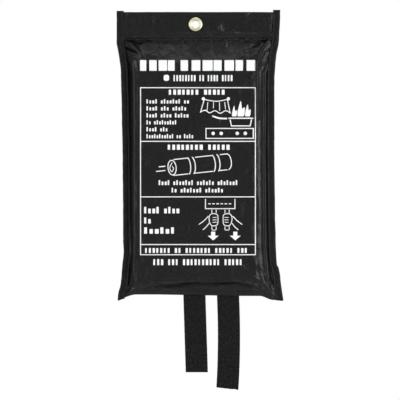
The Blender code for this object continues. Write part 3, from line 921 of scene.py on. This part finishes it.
def make_washer():
    low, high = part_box("eyelet_washer")
    near, far, outer = -low.y, -high.y, high.x
    profile = [(0.0049, near), (outer - 0.0002, near), (outer, near - 0.0002)]
    profile += arc((outer - 0.0005, far + 0.0005), 0.0005, 0, -90, 5)
    profile += [(0.0056, far + 0.0001), (0.0049, far + 0.0002)]
    washer = lathe("eyelet_back_ring", profile, BRASS, 128)
    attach(washer, "pouch")
    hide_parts("eyelet_washer")


# Blanket

BLANKET = 1.0  # each side of the square
FOLDS_ACROSS = 7
RUNS = (-0.0071, -0.0029, 0.0029, 0.0071)  # depth of the middle of each run of the strip
LAYER_PITCH = 0.0006
GLASS_CLOTH = 0.00043
PACK_ROUNDING = 0.007


def strip_path():
    """The middle of the folded strip as points of (depth, height), down and up through its four runs."""
    half = (FOLDS_ACROSS - 1) / 2 * LAYER_PITCH + GLASS_CLOTH / 2
    low = PACK_LOW.z + (RUNS[1] - RUNS[0]) / 2 + half
    high = PACK_HIGH.z - (RUNS[2] - RUNS[1]) / 2 - half
    free_end = PACK_HIGH.z - 0.005
    points = []
    for here, there, start, end in zip(RUNS, RUNS[1:], (free_end, low, high), (low, high, low)):
        points += [(here, z) for z in np.linspace(start, end, 14)[:-1]]
        radius = (there - here) / 2
        for angle in np.linspace(0, math.pi, 9):
            turned = radius * math.sin(angle) * (1 if end > start else -1)
            points.append((here + radius * (1 - math.cos(angle)), end + turned))
    points += [(RUNS[-1], z) for z in np.linspace(low, free_end, 15)[1:]]
    return np.array(points)


def strip_profile():
    """Across the strip: the sheet's zigzag as points of (x, distance from the strip's middle)."""
    rng = np.random.default_rng(11)
    half_width = (PACK_HIGH.x - PACK_LOW.x) / 2
    points = []
    for number in range(FOLDS_ACROSS):
        direction = 1 if number % 2 == 0 else -1
        depth = (number - (FOLDS_ACROSS - 1) / 2) * LAYER_PITCH
        out = max(RUNS[-1] - depth - (PACK_HIGH.y - PACK_ROUNDING), 0)
        rounded = PACK_ROUNDING - math.sqrt(PACK_ROUNDING**2 - out**2)
        edge = half_width - 0.0015 - rounded - 0.0012 * rng.random()
        points += [(direction * share * edge, depth) for share in np.linspace(-1, 1, 11)]
        if number < FOLDS_ACROSS - 1:
            for angle in np.radians((45, 90, 135)):
                bulge = LAYER_PITCH / 2 * math.sin(angle)
                points.append((direction * (edge + bulge), depth + LAYER_PITCH / 2 * (1 - math.cos(angle))))
    return np.array(points)


def make_blanket():
    """The square sheet: folded in seven across, into a strip that is folded in four."""
    path, profile = strip_path(), strip_profile()
    along = np.gradient(path, axis=0)
    along /= np.linalg.norm(along, axis=1)[:, None]
    left = np.stack([-along[:, 1], along[:, 0]], -1)
    points = np.zeros((len(path), len(profile), 3))
    points[..., 0] = profile[:, 0]
    points[..., 1:] = path[:, None] + left[:, None] * profile[:, 1][None, :, None]
    points[..., 1] += 0.00012 * ripple(points[..., 0], points[..., 2], 40, 5.0)
    points[..., 0] += POUCH_X + 0.0007 * ripple(points[..., 2], points[..., 1] * 8, 30, 8.0)
    down, across = np.linspace(0, BLANKET, len(path))[:, None], np.linspace(0, BLANKET, len(profile))
    cloth = cloth_object("blanket_cloth", points, GLASS, GLASS_CLOTH, across, down)
    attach(cloth, "blanket")
    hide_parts("folded_blanket")


# Pull tabs

# How far the free end leans and bows to the right, the rise of its cut end's left corner, and the height and
# depth of a crease
TABS = {"left": (0.0026, 0.0, 0.0, -0.361, 0.0016), "right": (-0.0009, 0.0014, 0.0028, -0.319, -0.0017)}
WEBBING = 0.0015


def make_tab(side_name):
    """One length of webbing from its sewn end in the pack down to its free end."""
    lean, bow, slant, crease_z, crease_height = TABS[side_name]
    anchor_low, anchor_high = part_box(f"{side_name}_tab_anchor")
    free_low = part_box(f"{side_name}_pull_tab")[0]
    half = (anchor_high.x - anchor_low.x) / 2
    hinge, top = anchor_low.z, anchor_high.z
    shares = np.linspace(-1, 1, 15)
    bottom = free_low.z + slant * (1 - shares) / 2
    if slant:
        bottom = bottom + 0.0005 * ripple(shares, 0.0, 2.3, 4.0)
    points = []
    for down in np.linspace(0, 1, 90):
        z = top + (bottom - top) * down
        below = np.clip((hinge - z) / (hinge - free_low.z), 0, 1)
        middle = (anchor_low.x + anchor_high.x) / 2 + lean * below + bow * 4 * below * (1 - below)
        x = middle + shares * half + 0.0001 * ripple(z, shares, 300, 3.0) * np.abs(shares)
        slope = (x - middle) * 0.15
        crease = crease_height * np.exp(-(((z - crease_z - slope) / 0.004) ** 2))
        free = smooth(-z, -hinge, -hinge + 0.03)
        curl = 0.0016 * ripple(z, 0.0, 18, 6.0 + half) * free
        curl = curl + 0.0006 * shares * ripple(z, 0.0, 30, 2.0) * free
        points.append(np.stack([x, curl + crease * free, z], -1))
    along = np.linspace(0, top - free_low.z, len(points))[:, None]
    strap = cloth_object(f"{side_name}_strap", np.array(points), TWILL, WEBBING, shares * half, along)
    rounding = bevel(strap, 0.0005, 2)
    rounding.limit_method = "ANGLE"
    rounding.angle_limit = math.radians(50)
    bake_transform(strap, "blanket", f"{side_name}_tab", start=(0, 0, hinge + 0.003), end=(0, 0, hinge - 0.004))
    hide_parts(f"{side_name}_tab_anchor", f"{side_name}_pull_tab")


def add_box_stitches(side_name):
    """A square of stitching with both diagonals, through a tab's sewn end."""
    low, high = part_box(f"{side_name}_tab_stitch")
    corners = {"a": (low.x, high.z), "b": (high.x, high.z), "c": (high.x, low.z), "d": (low.x, low.z)}
    path = [(corners[name][0], -0.0009, corners[name][1]) for name in "abcdacbd"]
    row = stitch_row(f"{side_name}_tab_stitches", path, -1, pitch=0.0024)
    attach(row, "blanket")
    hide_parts(f"{side_name}_tab_stitch")


# Print. Places and sizes are in millimetres, x from the pouch's centre line and z from the eyelet.

PRINT_LIFT = 0.0002
PRINT_GRID = 0.0015
LINE = 1.05
STROKE = 1.05


def flat_face(bm, corners):
    """A face in the plane of the print that looks to the front."""
    face = bm.faces.new(corners)
    face.normal_update()
    if face.normal.y > 0:
        face.normal_flip()


def print_points(bm, points):
    return [bm.verts.new((x * 0.001, 0, z * 0.001)) for x, z in points]


def polygon(bm, points):
    flat_face(bm, print_points(bm, points))


def rectangle(bm, left, top, right, bottom, cut=0.0):
    """A box, which may have its corners cut off."""
    points = [(left + cut, top), (right - cut, top), (right, top - cut), (right, bottom + cut),
              (right - cut, bottom), (left + cut, bottom), (left, bottom + cut), (left, top - cut)]
    polygon(bm, points if cut else [(left, top), (right, top), (right, bottom), (left, bottom)])


def stroke(bm, path, width=STROKE, closed=False):
    """A line of a width along a path, mitred at its corners."""
    path = np.array(path, float)
    before = np.roll(path, 1, 0) if closed else np.concatenate([[2 * path[0] - path[1]], path[:-1]])
    after = np.roll(path, -1, 0) if closed else np.concatenate([path[1:], [2 * path[-1] - path[-2]]])
    into, out = path - before, after - path
    into /= np.linalg.norm(into, axis=1)[:, None]
    out /= np.linalg.norm(out, axis=1)[:, None]
    normal = np.stack([-(into + out)[:, 1], (into + out)[:, 0]], -1)
    normal /= np.linalg.norm(normal, axis=1)[:, None]
    across = np.stack([-into[:, 1], into[:, 0]], -1)
    offset = normal * (width / 2 / np.maximum((normal * across).sum(1), 0.4))[:, None]
    left, right = print_points(bm, path + offset), print_points(bm, path - offset)
    for i in range(len(path) if closed else len(path) - 1):
        j = (i + 1) % len(path)
        flat_face(bm, (left[i], left[j], right[j], right[i]))


def curve_through(points, closed=False, steps=6):
    """A smooth path through a few points."""
    p = np.array(points, float)
    count = len(p)
    path = []
    for i in range(count if closed else count - 1):
        near = [(i + k) % count if closed else min(max(i + k, 0), count - 1) for k in (-1, 0, 1, 2)]
        path += [spline(*p[near], t) for t in np.arange(steps) / steps]
    return path if closed else [*path, p[-1]]


def ring_path(x, z, rx, rz, start=0, end=360, count=20, tilt=0.0):
    angles = np.radians(np.linspace(start, end, count, endpoint=abs(end - start) < 360))
    c, s = math.cos(math.radians(tilt)), math.sin(math.radians(tilt))
    return [(x + rx * math.cos(a) * c - rz * math.sin(a) * s, z + rx * math.cos(a) * s + rz * math.sin(a) * c)
            for a in angles]


def blocks(bm, left, right, top, bottom, words, weight=0.62, capital=True):
    """A line of plain blocks in place of lettering: one for each letter, grouped as words are."""
    space = 0.9
    pitch = (right - left) / (sum(words) + space * (len(words) - 1) - (1 - weight))
    at = left
    number = 0
    for word in words:
        for _ in range(word):
            tall = capital or number % 5 in (0, 3)
            high = top if tall else top - (top - bottom) * 0.27
            width = pitch * weight * (0.85 + 0.3 * ((number * 7) % 5) / 4)
            rectangle(bm, at, high, at + width, bottom, cut=min(0.35, width * 0.2))
            at += pitch
            number += 1
        at += pitch * space


def draw_frame(bm):
    """The outer frame and its dividers, as one outline and three bars between its sides."""
    left, right, top, bottom = -64.3, 64.3, -71.8, -258.9
    stroke(bm, [(left, top), (right, top), (right, bottom), (left, bottom)], LINE, closed=True)
    for z in (-131.9, -194.1, -247.5):
        rectangle(bm, left + LINE / 2 + 0.05, z + LINE / 2, right - LINE / 2 - 0.05, z - LINE / 2)


def draw_headline(bm):
    blocks(bm, -64.9, -25.5, -40.8, -52.9, (4,), weight=0.8)
    blocks(bm, -19.5, 64.2, -40.8, -52.9, (7,), weight=0.8)


def draw_small_print(bm):
    rectangle(bm, -38.4, -57.4, -32.4, -64.2, 1.2)
    blocks(bm, -27.4, 38.4, -57.6, -64.6, (8, 2, 4, 4), 0.55)
    blocks(bm, -32.7, 29.8, -74.0, -79.7, (7, 5))
    list_lines = ((-10.4, 4, 7, 2), (-13.3, 4, 3, 5), (-10.9, 4, 4, 5), (-24.2, 2, 9), (-34.2, 4, 3),
                  (-5.5, 11, 2, 4))
    for number, (right, *words) in enumerate(list_lines):
        middle = -87.3 - 7.8 * number
        blocks(bm, -57.7, right, middle + 2.6, middle - 2.3, words, 0.6, False)
    blocks(bm, -33.9, 35.0, -135.6, -141.4, (8, 5))
    blocks(bm, -44.0, 44.1, -175.4, -180.9, (4, 7, 6, 7), 0.58, False)
    blocks(bm, -29.6, 27.8, -183.9, -189.2, (2, 7, 6), 0.58, False)
    blocks(bm, -60.3, -21.3, -205.3, -212.6, (4, 4), capital=False)
    blocks(bm, -60.3, -52.9, -217.0, -224.0, (2,), capital=False)
    blocks(bm, -60.3, -26.4, -228.2, -235.4, (6,), capital=False)
    blocks(bm, -59.2, 54.8, -251.4, -256.9, (7, 2, 7, 5, 3), 0.55)
    blocks(bm, -50.0, 49.1, -263.9, -270.6, (3, 3, 10, 5), 0.55)


def draw_pan(bm):
    """A cloth held by its two upper corners, coming down over a burning pan on a hob."""
    hem = [(3, -99), (8, -97), (13, -100), (19, -97.5), (25, -100.5), (31, -97.5), (36, -100)]
    top = [(33, -85), (20, -87), (7, -85)]
    stroke(bm, [*curve_through(hem, steps=4), *curve_through(top, steps=4)], closed=True)
    for x, length in ((11, 9.5), (17.5, 7), (24, 9.5), (30, 8)):
        stroke(bm, [(x, -88), (x + (x - 20) * 0.08, -88 - length)], 0.8)
    for x in (6.0, 34.0):
        polygon(bm, ring_path(x, -84.3, 1.9, 1.9, count=12))
    flame = ((-3.4, 0), (-3.6, 4.5), (-0.6, 15), (0.9, 7.5), (3.2, 9), (3.2, 2.5), (2, 0))
    for x, size in ((41, 0.8), (48.5, 1.15), (56, 0.9)):
        polygon(bm, curve_through([(x + dx * size, -104 + dz * size) for dx, dz in flame], steps=4))
    stroke(bm, [(34, -106), (62, -106)], 1.3)
    stroke(bm, [(36, -107.4), (37.5, -114.6), (58.5, -114.6), (60, -107.4)], 1.2)
    stroke(bm, curve_through([(32.6, -106.4), (24, -106), (16, -103.5)]), 1.8)
    stroke(bm, [(9, -117.5), (62, -117.5), (62, -128.6), (9, -128.6)], 1.1, closed=True)
    for x in (17, 26, 44, 53):
        polygon(bm, ring_path(x, -123, 2.0, 2.0, count=14))


def draw_roll(bm):
    """A rolled cloth, tied with two bands."""
    tilt = 6.0
    lean = math.tan(math.radians(tilt))

    def along(x, off):
        return (x, -158.3 + x * lean + off)

    def both_sides(start, end):
        for off in (8.9, -8.9):
            stroke(bm, [along(start, off), along(end, off)])

    stroke(bm, ring_path(*along(-29, 0), 4.6, 8.2, count=26, tilt=tilt), closed=True)
    spiral = ((-29, 5.6), (-31.6, 0), (-29.2, -4.6), (-27.4, -1), (-29, 1.6))
    stroke(bm, curve_through([along(*place) for place in spiral]), 0.9)
    both_sides(-27.5, -10.8)
    both_sides(-3.2, 16.8)
    for x in (-7, 20.6):
        for edge in (-2.6, 2.6):
            stroke(bm, ring_path(*along(x + edge - 2, 0), 3.4, 9.6, -80, 80, 14, tilt), 1.1)
    both_sides(24.4, 33)
    stroke(bm, ring_path(*along(33, 0), 4.4, 8.9, -88, 88, 16, tilt))
    for start, off in ((-44, 2.4), (-47, -2.4)):
        stroke(bm, [along(start, off), along(-36.5, off)], 1.1)


def draw_pull(bm):
    """The lower end of a pouch with two straps, a hand on each, and two arrows that point down."""
    stroke(bm, [(8.4, -196.4), (8.4, -207.3), (41.4, -207.3), (41.4, -196.4)])
    for x in np.arange(11.5, 39, 4.6):
        rectangle(bm, x, -201.3, x + 2.8, -202.4)
    hand = ((-3.6, -214), (2.5, -213), (5.4, -216.5), (5.0, -222.5), (2.2, -226.4), (-3.4, -225.4),
            (-4.4, -219.5))
    arms = (((6.2, -215.6), (11.5, -221), (17, -225)), ((5.6, -223.6), (9, -228), (12.6, -231)))
    for x, side in ((18.0, -1), (32.6, 1)):
        for edge in (-2.4, 2.4):
            stroke(bm, [(x + edge, -208.4), (x + edge, -212.2)], 0.9)
            stroke(bm, [(x + edge, -227.2), (x + edge, -230.6)], 0.9)
        stroke(bm, [(x - 2.4, -231.2), (x + 2.4, -231.2)], 0.9)
        outline = curve_through([(x + side * dx, z) for dx, z in hand], closed=True, steps=4)
        stroke(bm, outline, 0.9, closed=True)
        for z in (-217, -219.7, -222.4):
            stroke(bm, [(x - side * 3.0, z), (x + side * 1.6, z - 0.3)], 0.7)
        for arm in arms:
            stroke(bm, curve_through([(x + side * dx, z) for dx, z in arm]), 1.0)
    arrow = ((-2.3, -233.1), (2.3, -233.1), (2.3, -237.6), (6.2, -237.6), (0, -242.9), (-6.2, -237.6),
             (-2.3, -237.6))
    for x in (17.0, 41.8):
        polygon(bm, [(x + dx, z) for dx, z in arrow])


def make_print(name, draw, tree):
    """A thin layer of white print that follows the cloth below it."""
    bm = bmesh.new()
    draw(bm)
    for axis, low, high in ((0, -0.07, 0.07), (2, -0.275, -0.035)):
        normal = Vector([axis == k for k in range(3)])
        for step in range(int(low / PRINT_GRID), int(high / PRINT_GRID) + 1):
            parts = bm.verts[:] + bm.edges[:] + bm.faces[:]
            place = normal * (step * PRINT_GRID)
            bmesh.ops.bisect_plane(bm, geom=parts, dist=1e-7, plane_co=place, plane_no=normal)
    for vertex in bm.verts:
        vertex.co.x += POUCH_X
        vertex.co.y = on_surface(tree, vertex.co.x, vertex.co.z, -1) - PRINT_LIFT / 2
    layer = from_bmesh(name, bm, PRINT)
    layer.data.shade_smooth()
    solidify(layer, PRINT_LIFT)
    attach(layer, "pouch")


# Camera, floor and light

VIEW_MIDDLE = Vector((0.005, 0, -0.1976))
LIGHTS = (
    ("top", (0.2, -1.0, 2.6), (1.5, 0.8), 18),
    ("front_strip", (1.1, -1.1, 0.0), (0.12, 0.9), 9),
    ("right_strip", (1.34, -0.78, 0.0), (0.12, 0.9), 10),
    ("left_strip", (-1.1, -1.1, 0.0), (0.12, 0.9), 11),
    ("back_soft", (-0.5, 2.2, 1.4), (1.2, 1.2), 22),
)


def add_camera():
    camera = bpy.data.cameras.new("camera")
    camera.lens = 200
    camera.clip_end = 20
    obj = link(bpy.data.objects.new("camera", camera))
    obj.location = VIEW_MIDDLE + Vector((0, -2.5, 0))
    obj.rotation_euler = (math.pi / 2, 0, 0)
    bpy.context.scene.camera = obj


def add_light(name, place, size, power):
    light = bpy.data.lights.new(name, "AREA")
    light.shape = "RECTANGLE"
    light.size, light.size_y = size
    light.energy = power
    obj = link(bpy.data.objects.new(name, light))
    obj.location = place
    obj.rotation_euler = (VIEW_MIDDLE - Vector(place)).to_track_quat("-Z", "Y").to_euler()


def add_world():
    """White behind the object. The light that it casts is a soft grey, darker from below."""
    world = bpy.data.worlds.new("studio")
    bpy.context.scene.world = world
    world.use_nodes = True
    tree = world.node_tree
    fill = tree.nodes["Background"]
    direction = add_node(tree, "ShaderNodeTexCoord").outputs["Generated"]
    up = add_node(tree, "ShaderNodeSeparateXYZ", {0: direction}).outputs["Z"]
    limits = {"Value": up, "From Min": -1, "To Min": 0.6, "To Max": 1.2}
    strength = add_node(tree, "ShaderNodeMapRange", limits).outputs[0]
    set_inputs(tree, fill, {"Color": (0.485, 0.485, 0.5, 1), "Strength": strength})
    white = add_node(tree, "ShaderNodeBackground", {"Color": (1, 1, 1, 1)})
    seen = add_node(tree, "ShaderNodeLightPath").outputs["Is Camera Ray"]
    mix = add_node(tree, "ShaderNodeMixShader", {0: seen, 1: fill.outputs[0], 2: white.outputs[0]})
    set_inputs(tree, tree.nodes["World Output"], {0: mix.outputs[0]})


def add_floor():
    bm = bmesh.new()
    bmesh.ops.create_circle(bm, cap_ends=True, segments=96, radius=1.2)
    floor = from_bmesh("floor", bm, Painter("pale_floor", (0.66, 0.66, 0.66), 0.8).material)
    floor.location = (0, 0, -0.78)


def main():
    bpy.context.scene.view_settings.view_transform = "Standard"
    add_camera()
    add_world()
    add_floor()
    for name, place, size, power in LIGHTS:
        add_light(name, place, size, power)

    make_blanket()
    trees = {"front": make_panel(-1, "front"), "back": make_panel(1, "back")}
    make_header()
    for side, side_name in ((-1, "left"), (1, "right")):
        make_tape(side, side_name)
        add_tape_stitches(side, side_name)
    add_header_stitches()
    add_hem_stitches(-1, "front", trees["front"])
    add_hem_stitches(1, "back", trees["back"])
    make_eyelet()
    make_washer()
    for side_name in TABS:
        make_tab(side_name)
        add_box_stitches(side_name)
    for name, draw in (("frame", draw_frame), ("headline", draw_headline), ("lines", draw_small_print),
                       ("pan", draw_pan), ("roll", draw_roll), ("pull", draw_pull)):
        make_print(f"printed_{name}", draw, trees["front"])


main()
